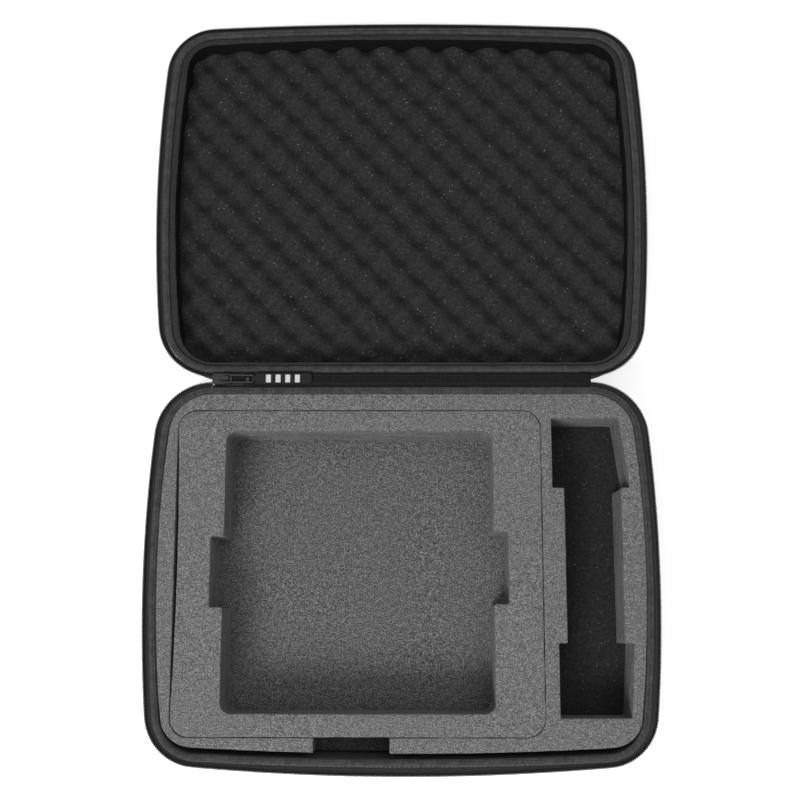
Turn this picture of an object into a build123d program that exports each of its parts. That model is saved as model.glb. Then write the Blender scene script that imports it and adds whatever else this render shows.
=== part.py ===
from build123d import *
import math
import os

# A zip-up moulded case lying open: the base in front, the lid turned right over behind it.
# Millimetres. +Z is up, +Y runs from the front edge to the hinge, +X is to the right.
# The origin is at the middle of the base's underside.

# Driving sizes of the two moulded halves
shell_half_width = 218.5
base_front = -159.5
lid_front = -163.0
shell_back = 166.5
side_sag = 11.0
shell_front_sag = 7.0
shell_corners = (38.0, 44.0)  # beside the front edge, beside the hinge
shell_height = 64.2
shell_wall = 4.0
shell_draft = 2.5
shell_bottom_round = 14.0
groove_inset = 24.0
groove_width = 3.0
groove_depth = 1.0

# The rim, its binding and the zip
rim_height = 66.0
binding_out = 0.9
binding_in = 5.2
binding_depth = 5.5
binding_round = 2.0
binding_corners = (31.5, 38.0)
zip_half_width = 225.0
base_zip_front = -168.5
base_zip_front_sag = 12.0
lid_zip_front = -167.6
lid_zip_front_sag = 7.0
zip_back = 171.7
zip_corners = (46.0, 51.0)
tape_start = 0.1
tape_thickness = 0.8
tape_low = 62.8
tape_high = 64.6
teeth_width = 2.8
teeth_thickness = 2.6
zip_end_x = 169.4

# The fabric spine between the halves, and the two fold lines at its edges
fold_spacing = 15.0
fold_height = 65.3
fold_gap = 1.5
spine_half_length = 165.0
spine_left_end = -127.5
spine_round = 1.5
spine_fabric = 1.0
spine_lining_thickness = 0.7
flap_height = 16.0
flap_thickness = 1.1

# The carry handle that hangs from the spine
rivet_x = 68.0
rivet_radius = 2.0
rivet_bore_radius = 2.1
rivet_head_radius = 3.6
rivet_head_sink = 1.5
washer_radius = 4.0
washer_thickness = 0.5
handle_drop = 22.0
grip_length = 92.0
grip_thickness = 8.0
grip_height = 12.0
grip_swell = 1.5
grip_round = 2.4
strap_width = 6.0
strap_thickness = 3.0
strap_bend = 7.0
strap_end = 8.0  # how far the strap goes on past each rivet, and where it bends down
strap_foot = 6.0  # from the grip's end to the strap's lower bend
end_plate_length = 26.0
end_plate_thickness = 2.0
end_plate_round = 2.5

# Foam in the base
foam_half_width = 213.0
foam_front = -149.5
foam_back = 161.0
foam_corners = (27.0, 37.8)
foam_top = 65.0
foam_fit_gap = 0.3  # between a foam block and the shell or lining round it
foam_edge_round = 0.5
floor_top = 4.0
underlay_top = 16.0
underlay_gap = 1.5
tray_left, tray_right = -197.6, 123.2
tray_front, tray_back = -136.0, 145.8
tray_corner = 16.0
tray_gap = 0.5
tray_bow = 2.4
tray_lift_gap = 0.3
tray_floor_thickness = 4.0
tray_floor_chamfer = 3.7
pocket_left, pocket_right = -155.0, 81.0
pocket_front, pocket_back = -116.7, 127.5
pocket_corner = 9.0
left_notch = (-166.5, -27.0, 34.5)
right_notch = (93.8, -24.0, 38.5)
notch_corner = 2.5
front_notch_left, front_notch_right = -75.0, -9.8

# The long stepped slot on the right, from its wide back end to its wide front end
slot_back, slot_front = 139.0, -120.3
slot_back_step, slot_front_step = 77.0, -57.5
slot_back_left = 133.0
slot_back_right = (192.5, 201.0)
slot_left, slot_right = 143.4, 193.0
slot_front_left = 136.0
slot_front_right = (201.0, 197.0)
slot_corner = 2.0

# Foam in the lid
padding_half_width = 207.1
padding_front = -152.3
padding_back = 157.8
padding_corners = (25.0, 32.0)
padding_gap = 0.2
lid_backing_top = 20.0
lid_backing_round = 9.0
egg_slab_top = 38.0
egg_peak = 50.0
egg_pitch = 33.4
egg_row = 17.55
egg_dome_radius = 11.9
egg_margin = 2.0

# The zip's slider with its bail and pull
slider_left, slider_right = -168.5, -151.0
slider_width = 9.6
slider_plate = 1.3
slider_channel = 3.4
slider_post = 4.0
slider_corner = 2.2
slider_slot = 1.6
slider_mouth = 3.2
bridge_x = -157.5
bridge_length = 9.0
bridge_width = 3.0
bridge_height = 4.0
bridge_round = 1.5
bail_above_plate = 1.8
bail_length = 26.0
bail_width = 6.4
bail_wire = 0.9  # the wire's radius
bail_corner = 2.0
bail_play = 0.3
pull_length = 54.0
pull_width = 9.6
pull_thickness = 2.8
pull_nose = 2.2  # how far the pull goes on past the bail's end wire
pull_nose_round = 1.3
pull_neck = 1.4
pull_gap = 0.9
pull_corner = 2.4
badge_length = 34.0
badge_width = 7.0
badge_thickness = 0.5
badge_start = 11.5
badge_proud = 0.1
coil_left = -156.0
coil_width = 5.0
coil_height = 2.6
stop_left = -138.9
stop_length = 3.0
stop_width = 6.4
stop_height = 2.0
stub_gap = 0.2
tab_start = 7.0
tab_end = 3.2
tab_thickness = 1.4
tab_round = 1.2

fold_y = shell_back
middle_y = shell_back + fold_spacing / 2


def arc_between(centre, radius, start, end):
    """An arc about centre from one angle to another, in radians."""
    turn = math.degrees(end - start)
    return CenterArc(centre, radius, math.degrees(start), turn)


def corner_centre(side, side_radius, front, front_radius):
    """Where two circles cross that are as far from both long arcs as the corner is round."""
    dx, dy = front[0] - side[0], front[1] - side[1]
    apart = math.hypot(dx, dy)
    along = (side_radius**2 - front_radius**2 + apart**2) / (2 * apart)
    across = math.sqrt(side_radius**2 - along**2)
    x, y = side[0] + along * dx / apart, side[1] + along * dy / apart
    one = (x - across * dy / apart, y + across * dx / apart)
    other = (x + across * dy / apart, y - across * dx / apart)
    return min(one, other, key=lambda p: p[1])


def outline(half_width, front, back, corners, inset=0.0, front_sag=shell_front_sag):
    """The halves' plan: bowed sides and front, a straight hinge edge and round corners."""
    front_corner, back_corner = corners
    middle = (front + back) / 2
    reach = (back - front) / 2
    side_radius = reach**2 / (2 * side_sag) + side_sag / 2
    front_radius = half_width**2 / (2 * front_sag) + front_sag / 2
    side = (half_width - side_radius, middle)
    nose = (0.0, front + front_radius)
    low = corner_centre(side, side_radius - front_corner, nose, front_radius - front_corner)
    high_y = back - back_corner
    high_x = side[0] + math.sqrt((side_radius - back_corner) ** 2 - (high_y - middle) ** 2)
    nose_end = math.atan2(low[1] - nose[1], low[0])
    side_start = math.atan2(low[1] - middle, low[0] - side[0])
    side_end = math.atan2(high_y - middle, high_x - side[0])
    right = [
        arc_between((low[0], low[1]), front_corner - inset, nose_end, side_start),
        arc_between(side, side_radius - inset, side_start, side_end),
        arc_between((high_x, high_y), back_corner - inset, side_end, math.pi / 2),
    ]
    edge_y = back - inset
    hinge_edge = Line((high_x, edge_y), (-high_x, edge_y))
    left = [e.mirror(Plane.YZ) for e in reversed(right)]
    front_edge = arc_between(nose, front_radius - inset, -math.pi - nose_end, nose_end)
    wire = Wire([front_edge] + right + [hinge_edge] + left)
    return make_face(wire)


def between(low_face, low_z, high_face, high_z):
    """A closed body with straight walls from one plan to another."""
    return loft([Pos(0, 0, low_z) * low_face, Pos(0, 0, high_z) * high_face], ruled=True)


def slab(x0, x1, y0, y1, z0, z1):
    return Pos((x0 + x1) / 2, (y0 + y1) / 2, (z0 + z1) / 2) * Box(x1 - x0, y1 - y0, z1 - z0)


def rounded(x0, x1, y0, y1, z0, z1, radius):
    """A block with upright corners rounded."""
    plan = Pos((x0 + x1) / 2, (y0 + y1) / 2, z0) * RectangleRounded(x1 - x0, y1 - y0, radius)
    return extrude(plan, amount=z1 - z0)


def to_lid(shape):
    """The lid lies open as the mirror image of the base about the middle of the spine."""
    return shape.mirror(Plane.XZ.offset(-middle_y))


def shell_plan(front, inset=0.0):
    return outline(shell_half_width, front, shell_back, shell_corners, inset)


def drafted(inset, z):
    """An inset with the wall's draft added, which grows towards the bottom."""
    return inset + shell_draft / shell_height * (shell_height - z)


def inside_binding(front, inset=0.0):
    """The plan of the binding's inner edge."""
    half = shell_half_width - binding_in
    return outline(half, front + binding_in, shell_back - binding_in, binding_corners, inset)


def shell_body(front, inset, low_z, high_z, bottom_round):
    """The moulded half as a closed body, drawn in by inset all round."""
    low = shell_plan(front, drafted(inset, low_z))
    high = shell_plan(front, drafted(inset, high_z))
    body = between(low, low_z, high, high_z)
    edges = body.edges().group_by(Axis.Z)[0]
    return fillet(edges, bottom_round)


def moulded_shell(front):
    outside = shell_body(front, 0.0, 0.0, shell_height, shell_bottom_round)
    inside = shell_body(front, shell_wall, floor_top, rim_height, shell_bottom_round - shell_wall)
    groove = extrude(shell_plan(front, groove_inset), amount=groove_depth)
    groove -= extrude(shell_plan(front, groove_inset + groove_width), amount=groove_depth)
    return outside - inside - groove


def rim_binding(front):
    """A folded tape over the shell's edge, rounded on top."""
    low_z = rim_height - binding_depth
    ring = extrude(Pos(0, 0, low_z) * shell_plan(front, -binding_out), amount=binding_depth)
    ring -= extrude(Pos(0, 0, low_z) * inside_binding(front), amount=binding_depth)
    ring = fillet(ring.edges().group_by(Axis.Z)[-1], binding_round)
    below = low_z - 1.0
    top = shell_plan(front)
    wall = between(shell_plan(front, drafted(0.0, below)), below, top, shell_height)
    inner_top = shell_plan(front, shell_wall)
    hollow = between(shell_plan(front, drafted(shell_wall, below)), below, inner_top, shell_height)
    return ring - (wall - hollow)


def zip_side():
    """The space on the three zipped sides, where a band runs from one spine end to the other."""
    keep = slab(-260, 260, -220, middle_y, 40, 90)
    return keep - slab(-zip_end_x, zip_end_x, 120, middle_y + 1, 40, 90)


def zip_band(front, zip_front, front_sag, inner_inset, outer_inset, low_z, high_z, thickness):
    """A flat band that climbs from the shell's rim to the teeth."""
    inner_low = shell_plan(front, inner_inset)
    outer_high = outline(zip_half_width, zip_front, zip_back, zip_corners, outer_inset, front_sag)
    solid = between(inner_low, low_z, outer_high, high_z)
    cut = between(inner_low, low_z + thickness, outer_high, high_z + thickness)
    top = extrude(Pos(0, 0, high_z) * outer_high, amount=thickness)
    return (solid + top) - cut - extrude(Pos(0, 0, low_z) * inner_low, amount=20)


def zip_tape(front, zip_front, front_sag):
    start = -binding_out - tape_start
    end = teeth_width + tape_start
    band = zip_band(front, zip_front, front_sag, start, end, tape_low, tape_high, tape_thickness)
    return band & zip_side()


def zip_teeth(zip_front, front_sag):
    """The row of teeth as one plain bead along the tape's edge."""
    low_z = tape_high + tape_thickness / 2 - teeth_thickness / 2
    outer = outline(zip_half_width, zip_front, zip_back, zip_corners, 0.0, front_sag)
    inner = outline(zip_half_width, zip_front, zip_back, zip_corners, teeth_width, front_sag)
    bead = extrude(Pos(0, 0, low_z) * outer, amount=teeth_thickness)
    bead -= extrude(Pos(0, 0, low_z) * inner, amount=teeth_thickness)
    return bead & zip_side()


def hinge_flap():
    """The spine fabric where it is sewn down the outside of a half."""
    slope = shell_draft / shell_height
    top_z = rim_height - binding_depth - 0.2
    low_z = top_z - flap_height
    wall = [(shell_back - slope * (shell_height - z) + 0.02, z) for z in (low_z, top_z)]
    outside = [(y + flap_thickness, z) for y, z in reversed(wall)]
    points = [(-spine_half_length, y, z) for y, z in wall + outside]
    face = make_face(Polyline(points, close=True))
    return extrude(face, amount=2 * spine_half_length, dir=(1, 0, 0))


def spine_strip(low_z, thickness):
    front_y = fold_y + fold_gap
    back_y = fold_y + fold_spacing - fold_gap
    return rounded(spine_left_end, spine_half_length, front_y, back_y, low_z, low_z + thickness, spine_round)


def at_rivets(shape):
    return [Pos(side * rivet_x, middle_y, 0) * shape for side in (-1, 1)]


def spine_fabric_strip():
    strip = spine_strip(fold_height - spine_fabric, spine_fabric)
    hole = Pos(0, 0, fold_height) * Cylinder(rivet_bore_radius, 4 * spine_fabric)
    for bore in at_rivets(hole):
        strip -= bore
    return strip


def washers():
    ring = Cylinder(washer_radius, washer_thickness) - Cylinder(rivet_radius + 0.05, washer_thickness)
    return Compound(children=at_rivets(Pos(0, 0, fold_height + washer_thickness / 2) * ring))


def spine_lining():
    """The lining over the spine, hollowed underneath for the two washers."""
    strip = spine_strip(fold_height, spine_lining_thickness)
    pocket = Pos(0, 0, fold_height) * Cylinder(washer_radius + 0.05, 2 * washer_thickness + 0.1)
    for hollow in at_rivets(pocket):
        strip -= hollow
    return strip


def strap_line():
    """The strap's middle line in the upright plane along the spine."""
    top = strap_top - strap_thickness / 2
    low = top - handle_drop
    ends = rivet_x + strap_end
    knee = rivet_x - strap_end
    foot = grip_length / 2 + strap_foot
    return [(-ends, top), (-knee, top), (-foot, low), (foot, low), (knee, top), (ends, top)]


strap_top = fold_height - spine_fabric - end_plate_thickness


def handle_strap():
    """A flat strap from rivet to rivet, with the grip moulded round its middle."""
    points = [(x, middle_y, z) for x, z in strap_line()]
    middle = FilletPolyline(*points, radius=strap_bend)
    end = Plane(origin=points[0], x_dir=(0, 1, 0), z_dir=(1, 0, 0))
    strap = sweep(end * Rectangle(strap_width, strap_thickness), path=middle)
    hole = Pos(0, 0, strap_top) * Cylinder(rivet_bore_radius, 4 * strap_thickness)
    for bore in at_rivets(hole):
        strap -= bore
    return strap


def handle_grip():
    """The moulded grip, swelling a little in the middle."""
    low = strap_line()[2][1]
    half = grip_length / 2
    under, over = low - grip_height / 2, low + grip_height / 2
    lower = ThreePointArc((-half, 0, under), (0, 0, under - grip_swell), (half, 0, under))
    right = Line(lower @ 1, (half, 0, over))
    upper = Line(right @ 1, (-half, 0, over))
    left = Line(upper @ 1, lower @ 0)
    face = make_face(Wire([lower, right, upper, left]))
    grip = extrude(Pos(0, middle_y + grip_thickness / 2, 0) * face, amount=grip_thickness, dir=(0, -1, 0))
    grip = fillet(grip.edges(), grip_round)
    return grip - Pos(0, middle_y, low) * Box(2 * grip_length, strap_width, strap_thickness)


def handle_end_plates():
    """Moulded plates that spread the load of each rivet."""
    top = fold_height - spine_fabric
    plate = Box(end_plate_length, grip_thickness, end_plate_thickness)
    plate = fillet(plate.edges().filter_by(Axis.Z), end_plate_round)
    plate = Pos(0, 0, top - end_plate_thickness / 2) * plate
    plate -= Pos(0, 0, top) * Cylinder(rivet_bore_radius, 3 * end_plate_thickness)
    return Compound(children=at_rivets(plate))


def handle_rivets():
    head_z = strap_top - strap_thickness
    shank_top = fold_height + washer_thickness
    shank = Pos(0, 0, (shank_top + head_z) / 2) * Cylinder(rivet_radius, shank_top - head_z)
    dome = Pos(0, 0, head_z + rivet_head_sink) * Sphere(rivet_head_radius)
    reach = 2 * rivet_head_radius
    head = dome & slab(-reach, reach, -reach, reach, head_z - reach, head_z)
    return Compound(children=at_rivets(shank + head))


def foam_outline():
    return outline(foam_half_width, foam_front, foam_back, foam_corners)


def tray_hole(z0, z1):
    return rounded(tray_left - tray_gap, tray_right + tray_gap, tray_front - tray_gap, tray_back + tray_gap,
                   z0, z1, tray_corner + tray_gap)


def foam_underlay():
    """The dark foam under the ring, with a hole for the lift-out block."""
    inset = shell_wall + underlay_gap
    pad = shell_body(base_front, inset, floor_top, underlay_top, shell_bottom_round - inset)
    return pad - tray_hole(0, 40)


def slot_plan():
    points = [
        (slot_back_left, slot_back),
        (slot_back_right[0], slot_back),
        (slot_back_right[1], slot_back_step),
        (slot_right, slot_back_step),
        (slot_right, slot_front_step),
        (slot_front_right[0], slot_front_step),
        (slot_front_right[1], slot_front),
        (slot_front_left, slot_front),
        (slot_front_left, slot_front_step),
        (slot_left, slot_front_step),
        (slot_left, slot_back_step),
        (slot_back_left, slot_back_step),
    ]
    face = make_face(Polyline(points, close=True))
    return fillet(face.vertices(), slot_corner)


def foam_ring():
    """The outer foam with the stepped slot and the finger gap at the front."""
    space = shell_body(base_front, shell_wall + foam_fit_gap, underlay_top, foam_top, foam_edge_round)
    ring = space & extrude(Pos(0, 0, underlay_top) * foam_outline(), amount=foam_top - underlay_top)
    ring -= tray_hole(0, 90)
    ring -= extrude(Pos(0, 0, 0) * slot_plan(), amount=90)
    ring -= slab(front_notch_left, front_notch_right, -200, tray_front + 1, 0, 90)
    return ring


def tray_plan():
    """The lift-out block, whose left side is drawn in where the cut runs wide."""
    block = Pos((tray_left + tray_right) / 2, (tray_front + tray_back) / 2) * RectangleRounded(
        tray_right - tray_left, tray_back - tray_front, tray_corner
    )
    low, high = tray_front + tray_corner, tray_back - tray_corner
    bow = ThreePointArc((tray_left, low), (tray_left + tray_bow, (low + high) / 2), (tray_left, high))
    chord = Line((tray_left, high), (tray_left, low))
    return block.face() - make_face(Wire([bow, chord]))


def pocket_plan():
    pocket = Pos((pocket_left + pocket_right) / 2, (pocket_front + pocket_back) / 2) * RectangleRounded(
        pocket_right - pocket_left, pocket_back - pocket_front, pocket_corner
    )
    inner = (pocket_left + pocket_right) / 2
    for edge_x, low, high in (left_notch, right_notch):
        notch = Pos((edge_x + inner) / 2, (low + high) / 2) * RectangleRounded(
            abs(edge_x - inner), high - low, notch_corner
        )
        pocket += notch
    return pocket


def tray_floor_top():
    return floor_top + tray_lift_gap + tray_floor_thickness


def tray_block():
    low = tray_floor_top()
    block = extrude(Pos(0, 0, low) * tray_plan(), amount=foam_top - low)
    return block - extrude(Pos(0, 0, low) * pocket_plan(), amount=90)


def tray_floor():
    low = floor_top + tray_lift_gap
    sheet = extrude(Pos(0, 0, low) * tray_plan(), amount=tray_floor_thickness)
    return chamfer(sheet.edges().group_by(Axis.Z)[0], tray_floor_chamfer)


def lid_padding():
    """The padded band round the lid's inside wall, stepped in below the binding."""
    low_z = lid_backing_top
    step_z = rim_height - binding_depth - foam_fit_gap
    against_wall = shell_wall + foam_fit_gap
    low_plan = shell_plan(lid_front, drafted(against_wall, low_z))
    step_plan = shell_plan(lid_front, drafted(against_wall, step_z))
    lower = between(low_plan, low_z, step_plan, step_z)
    beside_binding = inside_binding(lid_front, padding_gap)
    upper = extrude(Pos(0, 0, step_z) * beside_binding, amount=shell_height - step_z)
    return lower + upper - extrude(Pos(0, 0, low_z) * padding_plan(0.0), amount=rim_height)


def padding_plan(inset):
    return outline(padding_half_width, padding_front, padding_back, padding_corners, inset)


def lid_backing():
    pad = extrude(Pos(0, 0, floor_top) * padding_plan(padding_gap), amount=lid_backing_top - floor_top)
    return fillet(pad.edges().group_by(Axis.Z)[0], lid_backing_round)


def egg_crate():
    """Convoluted foam: staggered rows of soft domes on a sheet."""
    plan = padding_plan(padding_gap)
    foam = extrude(Pos(0, 0, lid_backing_top) * plan, amount=egg_slab_top - lid_backing_top)
    limits = padding_plan(egg_margin)
    beyond = slab(-240, 240, -200, 200, egg_slab_top, egg_peak + 1)
    beyond -= extrude(Pos(0, 0, egg_slab_top) * plan, amount=egg_peak)
    ball = Sphere(egg_dome_radius) & slab(-20, 20, -20, 20, 0, 20)
    ball = scale(ball, by=(1, 1, (egg_peak - egg_slab_top) / egg_dome_radius))
    domes = []
    rows = int((padding_back - padding_front) / egg_row / 2) + 1
    columns = int(padding_half_width / egg_pitch) + 1
    centre_y = (padding_back + padding_front) / 2
    for row in range(-rows, rows + 1):
        shift = 0.5 * egg_pitch if row % 2 else 0.0
        for column in range(-columns, columns + 1):
            x, y = column * egg_pitch + shift, centre_y + row * egg_row
            if limits.is_inside(Vector(x, y, 0)):
                domes.append(Pos(x, y, egg_slab_top) * ball)
    return foam.fuse(*domes) - beyond


def slider_body():
    """The slider: two plates joined by a post at the nose, turned-in edges and a bridge."""
    left, right = slider_left, slider_right
    half = slider_width / 2
    low = fold_height - slider_channel / 2 - slider_plate
    high = fold_height + slider_channel / 2 + slider_plate
    body = Pos((left + right) / 2, middle_y, (low + high) / 2) * Box(right - left, slider_width, high - low)
    body = fillet(body.edges().filter_by(Axis.Z), slider_corner)
    channel_half = coil_width / 2 + 2 * stub_gap
    channel = slab(left + slider_post, right + 1, middle_y - channel_half, middle_y + channel_half,
                   fold_height - slider_channel / 2, fold_height + slider_channel / 2)
    tape_slot = slab(left + slider_post, right + 1, middle_y - half - 1, middle_y + half + 1,
                     fold_height - slider_slot / 2, fold_height + slider_slot / 2)
    body = body - channel - tape_slot
    for side in (-1, 1):
        mouth = Pos(left + slider_post / 2, middle_y + side * half, fold_height)
        body -= mouth * Box(slider_post + 1, slider_mouth, slider_channel)
    bridge = Box(bridge_length, bridge_width, bridge_height)
    bridge = fillet(bridge.edges().filter_by(Axis.Y).group_by(Axis.Z)[-1], bridge_round)
    bridge = Pos(bridge_x, middle_y, high + bridge_height / 2) * bridge
    eye = Rot(90, 0, 0) * Cylinder(bail_wire + bail_play, 2 * bridge_width)
    bridge -= Pos(bridge_x, middle_y, bail_height()) * eye
    return body + bridge


def bail_height():
    return fold_height + slider_channel / 2 + slider_plate + bail_above_plate


def pull_height():
    """The level of the pull's middle as it lies on the spine's lining."""
    return fold_height + spine_lining_thickness + pull_gap + pull_thickness / 2


def slider_bail():
    """A bent wire ring through the slider's bridge, sloping down to the pull."""
    drop = bail_height() - pull_height()
    middle = Vector(bridge_x + bail_length / 2, middle_y, bail_height() - drop / 2)
    length = math.hypot(bail_length, drop)
    tilted = Plane(origin=middle, x_dir=(bail_length, 0, -drop), z_dir=(drop, 0, bail_length))
    ring = tilted * RectangleRounded(length, bail_width, bail_corner)
    path = ring.wire()
    section = Plane(origin=path @ 0, z_dir=path % 0) * Circle(bail_wire)
    return sweep(section, path=path)


def pull_frame():
    """Left end, and the lowest and highest level of the pull lying on the spine."""
    left = bridge_x + bail_length - pull_nose
    low = pull_height() - pull_thickness / 2
    return left, low, low + pull_thickness


def zip_pull():
    """A flat moulded pull with a rounded nose, narrowed where it passes through the bail."""
    left, low, high = pull_frame()
    right = left + pull_length
    half = pull_width / 2
    body = slab(left, right, middle_y - half, middle_y + half, low, high)
    body = fillet(body.edges().filter_by(Axis.Z).group_by(Axis.X)[-1], pull_corner)
    body = fillet(body.edges().filter_by(Axis.Y).group_by(Axis.X)[0], pull_nose_round)
    hole_x = bridge_x + bail_length
    centre_z = pull_height()
    body -= Pos(hole_x, middle_y, centre_z) * Rot(90, 0, 0) * Cylinder(bail_wire + bail_play, 2 * pull_width)
    neck = bail_width / 2 - bail_wire - bail_play
    cut = Box(2 * (hole_x + pull_neck - left), pull_width, 2 * pull_thickness)
    for side in (-1, 1):
        body -= Pos(left, middle_y + side * (neck + half), centre_z) * cut
    x, y, top = badge_centre()
    room = 0.5 * stub_gap
    return body - Pos(x, y, top) * Box(badge_length + room, badge_width + room, 2 * badge_thickness)


def badge_centre():
    left, low, high = pull_frame()
    return left + badge_start + badge_length / 2, middle_y, high


def pull_badge():
    x, y, top = badge_centre()
    depth = badge_thickness + badge_proud
    return Pos(x, y, top + badge_proud - depth / 2) * Box(badge_length, badge_width, depth)


def spine_width_between(gap):
    """The two long edges of a piece that lies on the spine, drawn in by gap."""
    return fold_y + fold_gap + gap, fold_y + fold_spacing - fold_gap - gap


def zip_stub():
    """The short closed end of the zip, two tape edges with the joined teeth between."""
    front_y, back_y = spine_width_between(stub_gap)
    low, high = fold_height - tape_thickness / 2, fold_height + tape_thickness / 2
    tapes = slab(coil_left, spine_left_end - stub_gap, front_y, back_y, low, high)
    coil = slab(coil_left, stop_left - stub_gap, middle_y - coil_width / 2, middle_y + coil_width / 2,
                fold_height - coil_height / 2, fold_height + coil_height / 2)
    return tapes + coil


def zip_bottom_stop():
    """A metal staple closed over the end of the teeth, above and below the tape."""
    half_height = stop_height / 2
    half_width = stop_width / 2
    right = stop_left + stop_length
    block = slab(stop_left, right, middle_y - half_width, middle_y + half_width,
                 fold_height - half_height, fold_height + half_height)
    block = fillet(block.edges().filter_by(Axis.X), 0.3 * stop_height)
    gap = slab(stop_left - 1, right + 1, middle_y - stop_width, middle_y + stop_width,
               fold_height - tape_thickness / 2, fold_height + tape_thickness / 2)
    return block - gap


def zip_end_tab():
    """The fabric tab sewn over the free zip end on the right."""
    front_y, back_y = spine_width_between(stub_gap)
    low = fold_height + spine_lining_thickness
    left, right = spine_half_length - tab_start, spine_half_length + tab_end
    return rounded(left, right, front_y, back_y, low, low + tab_thickness, tab_round)


base_parts = {
    "base_shell": lambda: moulded_shell(base_front),
    "base_rim_binding": lambda: rim_binding(base_front),
    "base_zip_tape": lambda: zip_tape(base_front, base_zip_front, base_zip_front_sag),
    "base_zip_teeth": lambda: zip_teeth(base_zip_front, base_zip_front_sag),
    "base_hinge_flap": hinge_flap,
    "foam_underlay": foam_underlay,
    "foam_ring": foam_ring,
    "tray_foam": tray_block,
    "tray_floor": tray_floor,
}

lid_parts = {
    "lid_shell": lambda: moulded_shell(lid_front),
    "lid_rim_binding": lambda: rim_binding(lid_front),
    "lid_zip_tape": lambda: zip_tape(lid_front, lid_zip_front, lid_zip_front_sag),
    "lid_zip_teeth": lambda: zip_teeth(lid_zip_front, lid_zip_front_sag),
    "lid_hinge_flap": hinge_flap,
    "lid_padding": lid_padding,
    "lid_backing_foam": lid_backing,
    "egg_crate_foam": egg_crate,
}

spine_parts = {
    "spine_fabric": spine_fabric_strip,
    "spine_lining": spine_lining,
    "handle_washers": washers,
    "handle_rivets": handle_rivets,
    "handle_end_plates": handle_end_plates,
    "handle_strap": handle_strap,
    "handle_grip": handle_grip,
    "zip_closed_end": zip_stub,
    "zip_bottom_stop": zip_bottom_stop,
    "zip_end_tab": zip_end_tab,
    "zip_slider": slider_body,
    "slider_bail": slider_bail,
    "zip_pull": zip_pull,
    "pull_badge": pull_badge,
}


def write(name, shape):
    export_step(shape, "parts/" + name + ".step")


os.makedirs("parts", exist_ok=True)
for name, make in base_parts.items():
    write(name, make())
for name, make in lid_parts.items():
    write(name, to_lid(make()))
for name, make in spine_parts.items():
    write(name, make())
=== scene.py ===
import math

import bmesh
import bpy
import numpy as np
from mathutils import Matrix, Vector, geometry, noise


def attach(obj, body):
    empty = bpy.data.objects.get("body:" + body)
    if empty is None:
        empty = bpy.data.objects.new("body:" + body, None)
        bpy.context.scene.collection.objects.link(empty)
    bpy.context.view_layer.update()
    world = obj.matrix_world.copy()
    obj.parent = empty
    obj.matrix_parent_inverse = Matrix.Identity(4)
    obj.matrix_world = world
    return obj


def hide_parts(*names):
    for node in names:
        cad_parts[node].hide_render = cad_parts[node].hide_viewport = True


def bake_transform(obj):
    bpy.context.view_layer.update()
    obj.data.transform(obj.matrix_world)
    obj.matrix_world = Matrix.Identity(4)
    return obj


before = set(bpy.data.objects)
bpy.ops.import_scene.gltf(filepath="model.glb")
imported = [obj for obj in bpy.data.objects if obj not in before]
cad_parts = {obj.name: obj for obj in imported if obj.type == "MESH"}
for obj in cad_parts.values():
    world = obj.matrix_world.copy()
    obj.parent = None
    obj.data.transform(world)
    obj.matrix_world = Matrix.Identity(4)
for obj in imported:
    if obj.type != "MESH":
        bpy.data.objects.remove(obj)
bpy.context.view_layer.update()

# The zip-up case lies open: the base in front, the lid turned over behind it.
# Lengths are in millimetres here and turned to metres by mm.
mm = 0.001

# the two moulded halves; the lid is the base's mirror image about spineY
case = {
    "halfWidth": 218.5,
    "baseFront": -159.5,
    "lidFront": -163.0,
    "back": 166.5,
    "sideSag": 11.0,
    "frontSag": 7.0,
    "corners": (38.0, 44.0),  # beside the front edge, beside the hinge
    "rim": 66.0,
}
foldY = 166.5
foldSpacing = 15.0
spineY = foldY + foldSpacing / 2
foldZ = 65.3


def linear(hexText):
    # sRGB hex to linear colour
    values = [int(hexText[i:i + 2], 16) / 255 for i in (1, 3, 5)]
    return tuple(v / 12.92 if v <= 0.04045 else ((v + 0.055) / 1.055) ** 2.4 for v in values) + (1.0,)


def addNode(tree, kind, inputs=None, stops=(), **settings):
    # an input is linked where a socket is given, or a node, whose first output is then meant; stops are for a ramp
    node = tree.nodes.new(kind)
    for key, value in settings.items():
        setattr(node, key, value)
    for key, value in (inputs or {}).items():
        if isinstance(value, bpy.types.Node):
            value = value.outputs[0]
        if isinstance(value, bpy.types.NodeSocket):
            tree.links.new(value, node.inputs[key])
        else:
            node.inputs[key].default_value = value
    if stops:
        elements = node.color_ramp.elements
        for _ in stops[2:]:
            elements.new(0.5)
        for element, (place, colour) in zip(elements, stops):
            element.position, element.color = place, linear(colour)
    return node


# Materials. Each starts as a Principled shader whose plain numbers are set on its own sockets.
# Patterns follow the object's coordinates, or on flat cloth its own UV map, in metres along and across.
def newMaterial(name, roughness, metallic=0.0, sheen=0.0, specular=0.5, onCloth=False):
    material = bpy.data.materials.new(name)
    material.use_nodes = True
    tree = material.node_tree
    shader = tree.nodes["Principled BSDF"]
    for label, value in (("Roughness", roughness), ("Metallic", metallic), ("Specular IOR Level", specular),
                         ("Sheen Weight", sheen), ("Sheen Roughness", 0.5)):
        shader.inputs[label].default_value = value
    if onCloth:
        return material, tree, addNode(tree, "ShaderNodeUVMap", uv_map="cloth").outputs["UV"]
    return material, tree, addNode(tree, "ShaderNodeTexCoord").outputs["Object"]


def dress(material, colour, height, depth, strength=0.6):
    # gives the material its colour, and a bump that many millimetres deep
    tree = material.node_tree
    shader = tree.nodes["Principled BSDF"]
    bump = addNode(tree, "ShaderNodeBump", {"Height": height, "Distance": depth * mm, "Strength": strength})
    tree.links.new(bump.outputs["Normal"], shader.inputs["Normal"])
    tree.links.new(colour, shader.inputs["Base Color"])
    return material


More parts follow.
